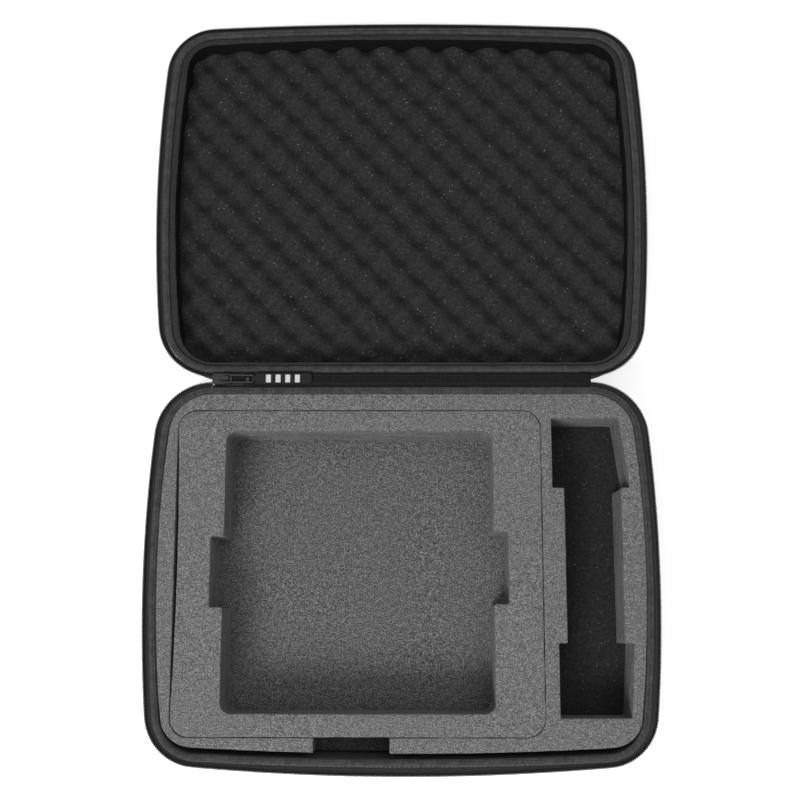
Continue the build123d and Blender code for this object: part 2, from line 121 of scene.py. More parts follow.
def stripes(tree, axis, length):
    # a wave that many millimetres long
    turn = addNode(tree, "ShaderNodeMath", {0: axis, 1: 2 * math.pi / (length * mm)}, operation="MULTIPLY")
    return addNode(tree, "ShaderNodeMath", {0: turn}, operation="SINE")


def threads(material, point, wave, share, lintSize, detail, dark, light, depth):
    # light on the raised threads, dark between them, and lint over both
    tree = material.node_tree
    lint = addNode(tree, "ShaderNodeTexNoise", {"Vector": point, "Scale": 1 / (lintSize * mm), "Detail": detail})
    level = addNode(tree, "ShaderNodeMath", {0: wave, 1: share, 2: lint}, operation="MULTIPLY_ADD")
    colour = addNode(tree, "ShaderNodeValToRGB", {"Fac": level}, [(0.30, dark), (0.75, light)])
    return dress(material, colour.outputs["Color"], wave, depth, 0.8)


def greyFoamMaterial(name, low, middle, high):
    # Cross-linked polyethylene foam, cut with a die: matt, with a pepper-and-salt grain of open skin cells.
    grain, patches, cell, streak = 1.2, 4.32, 1.1, 7.0  # millimetres
    material, tree, point = newMaterial(name, 0.92, sheen=0.03, specular=0.15)
    fine, wide = [addNode(tree, "ShaderNodeTexNoise",
                          {"Vector": point, "Scale": 1 / (size * mm), "Detail": 2.0, "Roughness": rough})
                  for size, rough in ((grain, 0.6), (patches, 0.7))]
    mixed = addNode(tree, "ShaderNodeMix", {"Factor": 0.22, "A": fine, "B": wide}).outputs["Result"]
    # level streaks, only on the upright faces
    stretched = addNode(tree, "ShaderNodeMapping", {"Vector": point, "Scale": (0.2, 0.2, 1.0)})
    streaks = addNode(tree, "ShaderNodeTexNoise", {"Vector": stretched, "Scale": 1 / (streak * mm), "Detail": 2.0})
    facing = addNode(tree, "ShaderNodeSeparateXYZ", {"Vector": addNode(tree, "ShaderNodeTexCoord").outputs["Normal"]})
    upward = addNode(tree, "ShaderNodeMath", {0: facing.outputs["Z"]}, operation="ABSOLUTE")
    onWall = addNode(tree, "ShaderNodeMapRange",
                     {"Value": upward, "From Min": 0.3, "From Max": 0.6, "To Min": 0.24, "To Max": 0.0})
    centred = addNode(tree, "ShaderNodeMath", {0: streaks, 1: 0.5}, operation="SUBTRACT")
    level = addNode(tree, "ShaderNodeMath", {0: centred, 1: onWall, 2: mixed}, operation="MULTIPLY_ADD")
    colour = addNode(tree, "ShaderNodeValToRGB", {"Fac": level}, [(0.36, low), (0.5, middle), (0.64, high)])
    cells = addNode(tree, "ShaderNodeTexVoronoi", {"Vector": point, "Scale": 1 / (cell * mm)})
    height = addNode(tree, "ShaderNodeMath", {0: mixed, 1: cells}, operation="SUBTRACT")
    return dress(material, colour.outputs["Color"], height, 0.30)


def blackFoamMaterial(name, dark, light, fleckColour):
    # Open-cell polyurethane foam: very matt, mottled, with pale flecks of uneven size.
    mottleSize, fleckSpacing, pore = 2.2, 2.5, 1.4  # millimetres
    material, tree, point = newMaterial(name, 0.95, sheen=0.03, specular=0.1)
    mottle = addNode(tree, "ShaderNodeTexNoise",
                     {"Vector": point, "Scale": 1 / (mottleSize * mm), "Detail": 3.0, "Roughness": 0.65})
    base = addNode(tree, "ShaderNodeValToRGB", {"Fac": mottle}, [(0.32, dark), (0.68, light)])
    spots = addNode(tree, "ShaderNodeTexVoronoi", {"Vector": point, "Scale": 1 / (fleckSpacing * mm)})
    spread = addNode(tree, "ShaderNodeSeparateColor", {"Color": spots.outputs["Color"]}).outputs
    size = addNode(tree, "ShaderNodeMapRange",
                   {"Value": spread["Red"], "From Min": 0.4, "From Max": 1.0, "To Min": 0.0, "To Max": 0.22})
    inside = addNode(tree, "ShaderNodeMath", {0: spots.outputs["Distance"], 1: size}, operation="LESS_THAN")
    bright = addNode(tree, "ShaderNodeMath", {0: inside, 1: spread["Green"]}, operation="MULTIPLY")
    colour = addNode(tree, "ShaderNodeMix", {"Factor": bright, "A": base, "B": linear(fleckColour)}, data_type="RGBA")
    pores = addNode(tree, "ShaderNodeTexVoronoi", {"Vector": point, "Scale": 1 / (pore * mm)})
    height = addNode(tree, "ShaderNodeMath", {0: mottle, 1: pores}, operation="SUBTRACT")
    return dress(material, colour.outputs["Result"], height, 0.35)


def wovenMaterial(name, dark, light, thread, roughness, onCloth=False, depth=0.12, sheen=0.25, twill=False,
                  specular=0.12):
    # Threads cross over and under: two waves at right angles.
    material, tree, point = newMaterial(name, roughness, sheen=sheen, specular=specular, onCloth=onCloth)
    split = addNode(tree, "ShaderNodeSeparateXYZ", {"Vector": point}).outputs
    across = split["Y"]
    if not onCloth:
        # on a moulded wall the second thread direction climbs, so height joins depth
        across = addNode(tree, "ShaderNodeMath", {0: across, 1: split["Z"]})
    first, second = [stripes(tree, axis, 2 * thread) for axis in (split["X"], across)]
    both = addNode(tree, "ShaderNodeMath", {0: first, 1: second}, operation="ADD" if twill else "MULTIPLY")
    return threads(material, point, both, 0.22, 3.0 * thread, 3.0, dark, light, depth)


def ribbedMaterial(name, dark, light, rib, roughness, depth=0.10, sheen=0.3):
    # Grosgrain: ribs that run across the tape.
    material, tree, point = newMaterial(name, roughness, sheen=sheen, specular=0.15, onCloth=True)
    split = addNode(tree, "ShaderNodeSeparateXYZ", {"Vector": point})
    wave = stripes(tree, split.outputs["X"], rib)
    return threads(material, point, wave, 0.18, 6.0, 4.0, dark, light, depth)


def smoothMaterial(name, dark, light, roughness, grain, depth, metallic=0.0, specular=0.5):
    # A moulded or cast surface with a fine cloudy grain.
    material, tree, point = newMaterial(name, roughness, metallic, specular=specular)
    cloud = addNode(tree, "ShaderNodeTexNoise", {"Vector": point, "Scale": 1 / (grain * mm), "Detail": 4.0})
    colour = addNode(tree, "ShaderNodeValToRGB", {"Fac": cloud}, [(0.3, dark), (0.7, light)])
    patch = addNode(tree, "ShaderNodeTexNoise", {"Vector": point, "Scale": 1 / (9 * grain * mm), "Detail": 3.0})
    gloss = addNode(tree, "ShaderNodeMapRange", {"Value": patch, "From Min": 0.3, "From Max": 0.7,
                                                 "To Min": roughness - 0.06, "To Max": roughness + 0.08})
    tree.links.new(gloss.outputs["Result"], tree.nodes["Principled BSDF"].inputs["Roughness"])
    return dress(material, colour.outputs["Color"], cloud, depth)


def printedMaterial(name, ground, ink, pitch, roughness):
    # Soft plastic, printed with plain pale blocks: matt, with crisp edges between the two tones.
    material, tree, point = newMaterial(name, roughness, specular=0.14)
    split = addNode(tree, "ShaderNodeSeparateXYZ", {"Vector": point})
    wave = stripes(tree, split.outputs["X"], pitch)
    printed = addNode(tree, "ShaderNodeMath", {0: wave, 1: 0.0}, operation="GREATER_THAN")
    colour = addNode(tree, "ShaderNodeMix", {"Factor": printed, "A": linear(ground), "B": linear(ink)},
                     data_type="RGBA")
    tree.links.new(colour.outputs["Result"], tree.nodes["Principled BSDF"].inputs["Base Color"])
    return material


materials = {
    # 1680 denier polyester laminated to EVA: coarse basket weave, drawn at 1.1 mm so that it shows
    "shellCloth": wovenMaterial("laminatedPolyester", "#1c1c1d", "#2b2b2c", 1.1, 0.75, depth=0.16, sheen=0.12),
    # the hinge and tabs: the same cloth, cut flat
    "hingeCloth": wovenMaterial("polyesterCanvas", "#161617", "#222223", 0.9, 0.8, True, depth=0.14, sheen=0.04,
                                specular=0.08),
    # binding tape: ribs 0.9 mm apart, with a little sheen
    "bindingTape": ribbedMaterial("grosgrainBinding", "#303031", "#535354", 0.9, 0.7, sheen=0.12),
    # zip tape: a flatter, duller twill
    "zipTape": wovenMaterial("zipTapeTwill", "#272728", "#39393a", 0.7, 0.82, True, depth=0.08, twill=True,
                             sheen=0.15),
    # coil teeth: drawn nylon wire, a dull gloss
    "coil": smoothMaterial("nylonCoil", "#141415", "#1f1f20", 0.42, 0.8, 0.02, specular=0.25),
    "greyFoam": greyFoamMaterial("polyethyleneFoamGrey", "#4a4a4a", "#6d6d6d", "#979797"),
    # the sheet that closes the pocket's floor, drawn a little darker as painted shade in the pocket
    "paintedShadeFloorFoam": greyFoamMaterial("polyethylenePaintedShadeFloor", "#353535", "#5f5f5f", "#919191"),
    "blackFoam": blackFoamMaterial("polyurethaneFoamBlack", "#222222", "#3a3a3a", "#949494"),
    # the sheet under the ring: the same foam, drawn a little darker as painted shade in the slot
    "paintedShadeUnderlayFoam": blackFoamMaterial("polyurethaneUnderlayPaintedShade", "#212121", "#373737", "#808080"),
    # the same foam at the bottom of the finger gap, drawn paler as painted light: it renders darker there than in the
    # photograph
    "paintedLightGapFoam": blackFoamMaterial("polyurethaneGapPaintedLight", "#3c3c3c", "#6a6a6a", "#a8a8a8"),
    # lining: short brushed nap over a thin pad
    "lining": wovenMaterial("brushedPolyesterLining", "#2c2c2d", "#3e3e3f", 0.8, 0.9, depth=0.05, sheen=0.03,
                            specular=0.08),
    # the same lining where it runs down the wall, drawn darker as painted shade
    "paintedShadeWallLining": wovenMaterial("brushedPolyesterPaintedShadeWall", "#151516", "#1f1f20", 0.8, 0.95, depth=0.05, sheen=0.0,
                                specular=0.03),
    "thread": smoothMaterial("bondedNylonThread", "#242425", "#343435", 0.6, 0.4, 0.02, specular=0.12),
    "softPvc": smoothMaterial("softPvcBlack", "#171718", "#222223", 0.55, 0.6, 0.03, specular=0.14),
    "webbing": ribbedMaterial("polyesterWebbing", "#1d1d1e", "#2c2c2d", 1.3, 0.72, depth=0.2),
    "zinc": smoothMaterial("blackPlatedZinc", "#2a2a2c", "#3c3c3e", 0.32, 0.7, 0.01, metallic=1.0),
    "steel": smoothMaterial("nickelPlatedSteel", "#a9a9a8", "#c4c4c2", 0.25, 0.9, 0.01, metallic=1.0),
    # the panel on the pull: plain pale blocks on black
    "palePanel": printedMaterial("printedTpu", "#1c1c1d", "#d8d8d6", 8.6, 0.5),
}


def setMaterial(mesh, key):
    mesh.materials.clear()
    mesh.materials.append(materials[key])


def newObject(name, data):
    obj = bpy.data.objects.new(name, data)
    bpy.context.scene.collection.objects.link(obj)
    return obj


def shadeSmooth(mesh, sharp):
    # smooth, with a crease where faces meet at more than sharp degrees
    mesh.polygons.foreach_set("use_smooth", [True] * len(mesh.polygons))
    mesh.set_sharp_from_angle(angle=math.radians(sharp))


def paintNode(name, key):
    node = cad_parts[name]
    for place in node.material_slots:
        place.material = materials[key]
    if not node.material_slots:
        node.data.materials.append(materials[key])


def mount(obj, body, slot, *nodes, fill=None):
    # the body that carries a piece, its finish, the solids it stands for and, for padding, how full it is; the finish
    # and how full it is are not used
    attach(obj, body)
    if nodes:
        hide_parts(*nodes)


# Plans are lists of (x, y, outward x, outward y), lines and loops of plain points.
def caseOutline(plan, step, endX=None):
    # bowed sides and front, round corners, straight hinge edge; endX stops the back corners short of it
    halfWidth, front, back = plan["halfWidth"], plan["front"], plan["back"]
    corner, backRadius = plan["corners"]
    sag, frontSag = case["sideSag"], plan.get("frontSag", case["frontSag"])
    middle, reach = (front + back) / 2, (back - front) / 2
    sideR = reach ** 2 / (2 * sag) + sag / 2
    frontR = halfWidth ** 2 / (2 * frontSag) + frontSag / 2
    side, nose = (halfWidth - sideR, middle), (0.0, front + frontR)
    a, b = sideR - corner, frontR - corner
    dx, dy = nose[0] - side[0], nose[1] - side[1]
    apart = math.hypot(dx, dy)
    along = (a * a - b * b + apart * apart) / (2 * apart)
    across = math.sqrt(a * a - along * along)
    foot = (side[0] + along * dx / apart, side[1] + along * dy / apart)
    ends = [(foot[0] - k * across * dy / apart, foot[1] + k * across * dx / apart) for k in (1, -1)]
    low = min(ends, key=lambda p: p[1])
    highY = back - backRadius
    highX = side[0] + math.sqrt((sideR - backRadius) ** 2 - (highY - middle) ** 2)
    noseEnd = math.atan2(low[1] - nose[1], low[0])
    sideStart = math.atan2(low[1] - middle, low[0] - side[0])
    sideEnd = math.atan2(highY - middle, highX - side[0])
    last = math.pi / 2 if endX is None else math.acos(max(-1.0, min(1.0, (endX - highX) / backRadius)))
    half = []
    for (x, y), radius, start, end in ((nose, frontR, -math.pi / 2, noseEnd), (low, corner, noseEnd, sideStart),
                                       (side, sideR, sideStart, sideEnd),
                                       ((highX, highY), backRadius, sideEnd, last)):
        steps = max(3, round(abs(radius * (end - start)) / step))
        turns = [start + (end - start) * i / steps for i in range(steps + 1)]
        half = half[:-1] + [(x + radius * math.cos(a), y + radius * math.sin(a), math.cos(a), math.sin(a))
                            for a in turns]
    whole = [(-x, y, -nx, ny) for x, y, nx, ny in half[:0:-1]] + half
    if endX is None:
        steps = max(3, round(2 * highX / step))
        whole += [(highX - 2 * highX * i / steps, back, 0.0, 1.0) for i in range(1, steps)]
    return whole


def bend(before, corner, after, radius):
    # start, end and centre of the round that takes off a corner
    u, v = (before - corner).normalized(), (after - corner).normalized()
    half = math.acos(max(-1.0, min(1.0, u.dot(v)))) / 2
    reach = radius / math.tan(half)
    return corner + u * reach, corner + v * reach, corner + (u + v).normalized() * (radius / math.sin(half))


def roundedLoop(points, radii, step):
    # a polygon with round corners, counter-clockwise
    n, out = len(points), []
    for i in range(n):
        r = radii[i] if isinstance(radii, list) else radii
        start, end, centre = bend(*[Vector(points[k % n]) for k in (i - 1, i, i + 1)], r)
        a0 = math.atan2(start.y - centre.y, start.x - centre.x)
        a1 = math.atan2(end.y - centre.y, end.x - centre.x)
        turn = (a1 - a0 + math.pi) % (2 * math.pi) - math.pi
        count = max(3, round(abs(turn) * r / min(step, max(r / 2, 0.4))))
        angles = [a0 + turn * k / count for k in range(count + 1)]
        out += [(centre.x + r * math.cos(a), centre.y + r * math.sin(a)) for a in angles]
    return resample(out, step)


def resample(points, step, closed=True):
    # adds points on long runs, and keeps the ones that are there
    out = []
    for p, q in zip(points, points[1:] + points[:1] if closed else points[1:]):
        length = math.hypot(q[0] - p[0], q[1] - p[1])
        if length < 1e-4:
            continue
        parts = max(1, math.ceil(length / step))
        out += [(p[0] + (q[0] - p[0]) * k / parts, p[1] + (q[1] - p[1]) * k / parts) for k in range(parts)]
    return out if closed else out + points[-1:]


def lengthsAlong(points):
    # each point's distance from the first, along the line
    out = [0.0]
    for a, b in zip(points, points[1:]):
        out.append(out[-1] + math.hypot(b[0] - a[0], b[1] - a[1]))
    return out


def leftNormals(points, closed=False):
    # to the left of the way along: into the foam, for an outer loop counter-clockwise and a hole clockwise
    out, n = [], len(points)
    for i in range(n):
        a = points[i - 1 if closed else max(i - 1, 0)]
        b = points[(i + 1) % n if closed else min(i + 1, n - 1)]
        dx, dy = b[0] - a[0], b[1] - a[1]
        length = math.hypot(dx, dy) or 1.0
        out.append((-dy / length, dx / length))
    return out


def insideLoop(xs, ys, loop):
    # even-odd test for many points at once
    inside = np.zeros(len(xs), bool)
    px, py = np.array(loop).T
    qx, qy = np.roll(px, -1), np.roll(py, -1)
    for i in range(len(px)):
        crosses = (py[i] > ys) != (qy[i] > ys)
        if crosses.any():
            at = (qx[i] - px[i]) * (ys - py[i]) / (qy[i] - py[i] + 1e-15) + px[i]
            inside ^= crosses & (xs < at)
    return inside


def insidePlan(xs, ys, loops):
    inside = insideLoop(xs, ys, loops[0])
    for hole in loops[1:]:
        inside &= ~insideLoop(xs, ys, hole)
    return inside


def area(loop):
    return sum(a[0] * b[1] - b[0] * a[1] for a, b in zip(loop[-1:] + loop, loop)) / 2


def bandFaces(rings, n, closed=False):
    # quads between rings of n points; an open band gets a face at each end
    faces = []
    for i in range(rings if closed else rings - 1):
        a, b = i * n, (i + 1) % rings * n
        faces += [(a + k, b + k, b + (k + 1) % n, a + (k + 1) % n) for k in range(n)]
    return faces if closed else faces + [tuple(range(n)), tuple(range((rings - 1) * n, rings * n))]


def mirrored(points, flip):
    # the lid's pieces are drawn on the base's side and mirrored at the middle of the spine
    return [(x, 2 * spineY - y, z) for x, y, z in points] if flip else points


def finishMesh(name, verts, faces, key, sharp, uvs=None, flip=False):
    mesh = bpy.data.meshes.new(name)
    mesh.from_pydata([tuple(c * mm for c in v) for v in mirrored(verts, flip)], [], faces)
    if uvs is not None:
        layer = mesh.uv_layers.new(name="cloth")
        loops = np.zeros(len(mesh.loops), int)
        mesh.loops.foreach_get("vertex_index", loops)
        table = np.array(uvs, float)[loops] * mm
        layer.data.foreach_set("uv", table.astype(np.float32).ravel())
    bm = bmesh.new()
    bm.from_mesh(mesh)
    bmesh.ops.recalc_face_normals(bm, faces=bm.faces)
    bm.to_mesh(mesh)
    bm.free()
    shadeSmooth(mesh, sharp)
    setMaterial(mesh, key)
    return newObject(name, mesh)


def cutBlock(name, loops, sizes, key, flip=False):
    # Sheet foam cut to a plan: upright walls, a worn top edge of radius edge and a top that may rise and fall.
    low, top, edge, grid = [sizes[k] for k in ("low", "top", "edge", "grid")]
    scale, amount, seed = sizes.get("lift", (1.0, 0.0, 0.0))
    rough = sizes.get("rough", 0.0)

    def lift(x, y):
        return amount * noise.noise(Vector((x / scale, y / scale, seed)))

    loops = [loop if (area(loop) > 0) == (k == 0) else loop[::-1] for k, loop in enumerate(loops)]
    verts, faces = [], []
    lastRings, firstRings = [], []
    levels = max(1, round((top - edge - low) / sizes.get("wallStep", 8.0)))
    rings = [(0.0, low + (top - edge - low) * k / levels, k / levels) for k in range(levels + 1)]
    rings += [(edge * (1 - math.cos(a)), top - edge + edge * math.sin(a), 1.0)
              for a in (math.pi / 6, math.pi / 3, math.pi / 2)]
    for loop in loops:
        normals, n = leftNormals(loop, closed=True), len(loop)
        ringStart = []
        for inset, z, share in rings:
            ringStart.append(len(verts))
            for (x, y), (nx, ny) in zip(loop, normals):
                d = inset + rough * noise.noise(Vector((x * 0.06, y * 0.06, z * 0.05)))
                px, py = x + nx * d, y + ny * d
                verts.append((px, py, z + lift(px, py) * share))
        for a, b in zip(ringStart, ringStart[1:]):
            faces += [(a + i, a + (i + 1) % n, b + (i + 1) % n, b + i) for i in range(n)]
        firstRings.append((ringStart[0], n))
        lastRings.append((ringStart[-1], n))
    # staggered rows of points across the top, kept off its edges
    tops = [[verts[s + i][:2] for i in range(n)] for s, n in lastRings]
    xs, ys = zip(*tops[0])
    gx, gy = np.meshgrid(np.arange(min(xs), max(xs), grid), np.arange(min(ys), max(ys), grid * 0.866))
    gx = gx + (np.arange(gx.shape[0])[:, None] % 2) * grid / 2
    px, py = gx.ravel(), gy.ravel()
    keep = insidePlan(px, py, tops)
    px, py = px[keep], py[keep]
    edgePoints = np.array([p for t in tops for p in t])
    far = np.ones(len(px), bool)
    for i in range(0, len(px), 4000):
        part = slice(i, i + 4000)
        apart = np.hypot(px[part, None] - edgePoints[None, :, 0], py[part, None] - edgePoints[None, :, 1])
        far[part] = apart.min(axis=1) > grid * 0.55
    inner = list(zip(px[far].tolist(), py[far].tolist()))

    def cap(rings, extra, height):
        index = [s + i for s, n in rings for i in range(n)]
        flat = [Vector(verts[k][:2]) for k in index] + [Vector(p) for p in extra]
        edges, at = [], 0
        for s, n in rings:
            edges += [(at + i, at + (i + 1) % n) for i in range(n)]
            at += n
        out = geometry.delaunay_2d_cdt(flat, edges, [], 0, 1e-5, True)
        points, tris, origin = out[0], out[2], out[3]
        target = []
        for k, p in enumerate(points):
            known = [o for o in origin[k] if o < len(index)]
            if known:
                target.append(index[known[0]])
            else:
                target.append(len(verts))
                verts.append((p.x, p.y, height(p.x, p.y)))
        cx = np.array([sum(points[v].x for v in t) / 3 for t in tris])
        cy = np.array([sum(points[v].y for v in t) / 3 for t in tris])
        inPlan = insidePlan(cx, cy, [[verts[s + i][:2] for i in range(n)] for s, n in rings])
        for t, good in zip(tris, inPlan):
            ids = tuple(target[v] for v in t)
            if good and len(set(ids)) == 3:
                faces.append(ids)

    cap(lastRings, inner, lambda x, y: top + lift(x, y))
    cap(firstRings, [], lambda x, y: low)
    return finishMesh(name, verts, faces, key, sizes.get("smooth", 40), flip=flip)


def sweep(name, path, profile, key, closed=True, flip=False, wave=None):
    # A closed section carried round a plan; profile holds (outward, height) pairs.
    verts, uvs = [], []
    around = lengthsAlong(profile)
    for along, (x, y, nx, ny) in zip(lengthsAlong(path), path):
        for across, (o, z) in zip(around, profile):
            do, dz = wave(along, o, z) if wave else (0.0, 0.0)
            verts.append((x + nx * (o + do), y + ny * (o + do), z + dz))
            uvs.append((along, across))
    return finishMesh(name, verts, bandFaces(len(path), len(profile), closed), key, 50, uvs, flip)


# Geometry Nodes: one tree sets copies of a small piece along a path, another shapes the lid's foam.
def newTree(name, labels):
    # a tree with named inputs, and the sockets that give them
    tree = bpy.data.node_groups.new(name, "GeometryNodeTree")
    tree.interface.new_socket("Geometry", in_out="OUTPUT", socket_type="NodeSocketGeometry")
    for label, kind in labels.items():
        tree.interface.new_socket(label, in_out="INPUT", socket_type="NodeSocket" + kind)
    return tree, addNode(tree, "NodeGroupInput").outputs


def endTree(tree, geometry, material):
    real = addNode(tree, "GeometryNodeRealizeInstances", {"Geometry": geometry})
    coloured = addNode(tree, "GeometryNodeSetMaterial", {"Geometry": real, "Material": material})
    addNode(tree, "NodeGroupOutput", {"Geometry": coloured})
    return tree


def rowTree():
    # teeth and stitches: each copy lies along the path, flat side up, its size a little uneven
    tree, given = newTree("piecesAlongPath", {"Path": "Geometry", "Piece": "Object", "Pitch": "Float",
                                              "Size jitter": "Float", "Seed": "Int", "Material": "Material"})
    curve = addNode(tree, "GeometryNodeMeshToCurve", {"Mesh": given["Path"]})
    points = addNode(tree, "GeometryNodeCurveToPoints", {"Curve": curve, "Length": given["Pitch"]}, mode="LENGTH")
    ahead = addNode(tree, "FunctionNodeAlignRotationToVector", {"Vector": points.outputs["Tangent"]}, axis="X")
    level = addNode(tree, "FunctionNodeAlignRotationToVector", {"Rotation": ahead, "Vector": (0.0, 0.0, 1.0)},
                    axis="Z", pivot_axis="X")
    low = addNode(tree, "ShaderNodeMath", {0: 1.0, 1: given["Size jitter"]}, operation="SUBTRACT")
    high = addNode(tree, "ShaderNodeMath", {0: 1.0, 1: given["Size jitter"]})
    size = addNode(tree, "FunctionNodeRandomValue", {2: low, 3: high, "Seed": given["Seed"]})
    piece = addNode(tree, "GeometryNodeObjectInfo", {"Object": given["Piece"]})
    copies = addNode(tree, "GeometryNodeInstanceOnPoints",
                     {"Points": points, "Instance": piece.outputs["Geometry"], "Rotation": level,
                      "Scale": size.outputs[1]})
    return endTree(tree, copies, given["Material"])


rowOfPieces = rowTree()


def grown(obj, tree, values):
    # the tree's result on the object as a plain mesh; the object with its modifier is taken away
    modifier = obj.modifiers.new(tree.name, "NODES")
    modifier.node_group = tree
    for item in tree.interface.items_tree:
        if item.in_out == "INPUT" and item.name in values:
            modifier[item.identifier] = values[item.name]
    bpy.context.view_layer.update()
    mesh = bpy.data.meshes.new_from_object(obj.evaluated_get(bpy.context.evaluated_depsgraph_get()))
    bpy.data.objects.remove(obj)
    return mesh


def rowAlong(name, paths, sizes, flip=False):
    # copies of the piece in sizes along paths of points in millimetres; the row becomes one plain mesh
    verts, edges = [], []
    for path in paths:
        start = len(verts)
        verts += [tuple(c * mm for c in p) for p in mirrored(path, flip)]
        edges += [(i, i + 1) for i in range(start, len(verts) - 1)]
    line = bpy.data.meshes.new(name + "Line")
    line.from_pydata(verts, edges, [])
    mesh = grown(newObject(name + "Line", line), rowOfPieces, {
        "Piece": sizes["piece"], "Pitch": sizes["pitch"] * mm, "Size jitter": sizes["jitter"], "Seed": 1,
        "Material": materials[sizes["key"]]})
    mesh.name = name
    setMaterial(mesh, sizes["key"])
    mesh.polygons.foreach_set("material_index", [0] * len(mesh.polygons))
    shadeSmooth(mesh, 50)
    return newObject(name, mesh)


def patternPiece(name, rings, key):
    # a small shape that rows are made from; it is taken away before the end
    return finishMesh(name, [p for ring in rings for p in ring], bandFaces(len(rings), len(rings[0])), key, 50)


def evenTurns(sides):
    return [2 * math.pi * k / sides for k in range(sides)]


stitch = {"length": 3.0, "pitch": 4.0, "thick": 0.62, "sides": 6, "tip": 0.55, "dip": 0.34, "jitter": 0.03,
          "key": "thread"}


def stitchRings():
    # a thread lying on cloth: round in section, its ends dipping in
    rings = []
    for share in (-0.5, -0.38, 0.0, 0.38, 0.5):
        r = stitch["thick"] / 2 * (stitch["tip"] if abs(share) == 0.5 else 1.0)
        drop = -stitch["dip"] * (abs(share) / 0.5) ** 3
        rings.append([(share * stitch["length"], r * math.cos(a), r * math.sin(a) + drop)
                      for a in evenTurns(stitch["sides"])])
    return rings


tooth = {"length": 3.0, "pitch": 1.9, "width": 1.5, "height": 2.5, "sides": 8, "jitter": 0.03, "key": "coil"}


def toothRings():
    # one turn of the coil: a flattened loop with a swollen head at its outer end (-Y)
    end = tooth["length"] / 2
    shape = ((-end, 0.55, 0.45), (0.35 - end, 1.05, 0.95), (1.0 - end, 1.0, 1.0), (0.3, 0.72, 0.86),
             (end - 0.3, 0.66, 0.8), (end, 0.4, 0.5))  # place, share of the width, share of the height
    return [[(wide * tooth["width"] / 2 * math.cos(a), y, tall * tooth["height"] / 2 * math.sin(a))
             for a in evenTurns(tooth["sides"])] for y, wide, tall in shape]


stitch["piece"] = patternPiece("stitchPattern", stitchRings(), stitch["key"])
tooth["piece"] = patternPiece("toothPattern", toothRings(), tooth["key"])


def shellPlan(front, step, endX=None):
    return caseOutline({**case, "front": front}, step, endX)


def offsetLoop(path, inset):
    return [(x - nx * inset, y - ny * inset) for x, y, nx, ny in path]


def foamPlan(sizes, step):
    return offsetLoop(caseOutline(sizes, step), 0.0)


print("shells")
for half in ("base", "lid"):
    paintNode(half + "_shell", "shellCloth")


# Foam in the base. Figures as in the solids. A sheet's slow rise and fall, lift, has a length, an amount and a seed.
ringFoam = {
    "halfWidth": 213.0, "front": -149.5, "back": 161.0, "corners": (27.0, 37.8),
    "low": 16.0, "top": 65.0, "edge": 0.7, "grid": 5.0, "lift": (60, 0.35, 1.0), "rough": 0.25,
    "tray": (-198.1, 123.7, -136.5, 146.3), "trayCorner": 16.5,
    "slot": [(133.0, 139.0), (192.5, 139.0), (201.0, 77.0), (193.0, 77.0), (193.0, -57.5), (201.0, -57.5),
             (197.0, -120.3), (136.0, -120.3), (136.0, -57.5), (143.4, -57.5), (143.4, 77.0), (133.0, 77.0)],
    "slotCorner": 1.2,
    "notch": (-75.0, -9.8),
}
trayFoam = {
    "block": (-197.6, 123.2, -136.0, 145.8), "corner": 16.0, "bow": 2.4,
    "pocket": (-155.0, 81.0, -116.7, 127.5), "pocketCorner": 9.0,
    "leftNotch": (-166.5, -27.0, 34.5), "rightNotch": (93.8, -24.0, 38.5), "notchCorner": 1.6,
    "low": 8.3, "top": 65.0, "edge": 0.9, "grid": 5.0, "lift": (70, 0.4, 4.0), "rough": 0.3,
}
floorSheet = {"low": 4.3, "top": trayFoam["low"], "edge": 0.1, "grid": 6.0, "lift": (45, 0.5, 9.0)}
underlay = {
    "inset": 8.0, "low": 4.1, "top": 16.0, "edge": 0.6, "grid": 5.0, "lift": (30, 0.5, 2.0),
    "hole": ringFoam["tray"], "corner": ringFoam["trayCorner"],
}


def rect(x0, x1, y0, y1):
    return [(x0, y0), (x1, y0), (x1, y1), (x0, y1)]


def ringLoops():
    # The finger gap cuts the ring through at the front, so the outside and the tray hole are one loop.
    f = ringFoam
    hole = roundedLoop(rect(*f["tray"]), f["trayCorner"], 4.0)
    left, right = f["notch"]

    def opened(loop):
        # the loop's points in order round from one side of the gap to the other, which cuts only its front 12 mm
        low = min(p[1] for p in loop)
        inGap = [p[1] < low + 12 and left - 1.0 < p[0] < right + 1.0 for p in loop]
        near = [i for i, hit in enumerate(inGap) if hit]
        first = near[-1] + 1 if near[-1] - near[0] == len(near) - 1 else near[0]
        order = [(first + i) % len(loop) for i in range(len(loop))]
        return [loop[i] for i in order if not inGap[i]]

    frontY, trayY = f["front"] + 0.6, f["tray"][2]
    path = [(right, frontY)] + opened(foamPlan(f, 4.0)) + [(left, frontY), (left, trayY)]
    path += opened(hole)[::-1] + [(right, trayY)]
    return [resample(path, 4.0), roundedLoop(f["slot"], f["slotCorner"], 4.0)]


def trayLoops():
    f = trayFoam
    x0, _, y0, y1 = f["block"]
    low, high = y0 + f["corner"], y1 - f["corner"]
    bowed = []
    for x, y in roundedLoop(rect(*f["block"]), f["corner"], 4.0):
        if x < x0 + 0.01 and low < y < high:
            share = (y - low) / (high - low)
            x += f["bow"] * 4 * share * (1 - share)
        bowed.append((x, y))
    px0, px1, py0, py1 = f["pocket"]
    lx, l0, l1 = f["leftNotch"]
    rx, r0, r1 = f["rightNotch"]
    c, k = f["pocketCorner"], f["notchCorner"]
    pocket = roundedLoop(
        [(px0, py0), (px1, py0), (px1, r0), (rx, r0), (rx, r1), (px1, r1), (px1, py1), (px0, py1), (px0, l1), (lx, l1),
         (lx, l0), (px0, l0)],
        [c, c, k, k, k, k, c, c, k, k, k, k], 4.0)
    return [bowed, pocket]


print("foam ring")
foamRing = cutBlock("foamRing", ringLoops(), ringFoam, "greyFoam")
mount(foamRing, "base", "grey_foam", "foam_ring", fill=1.0)

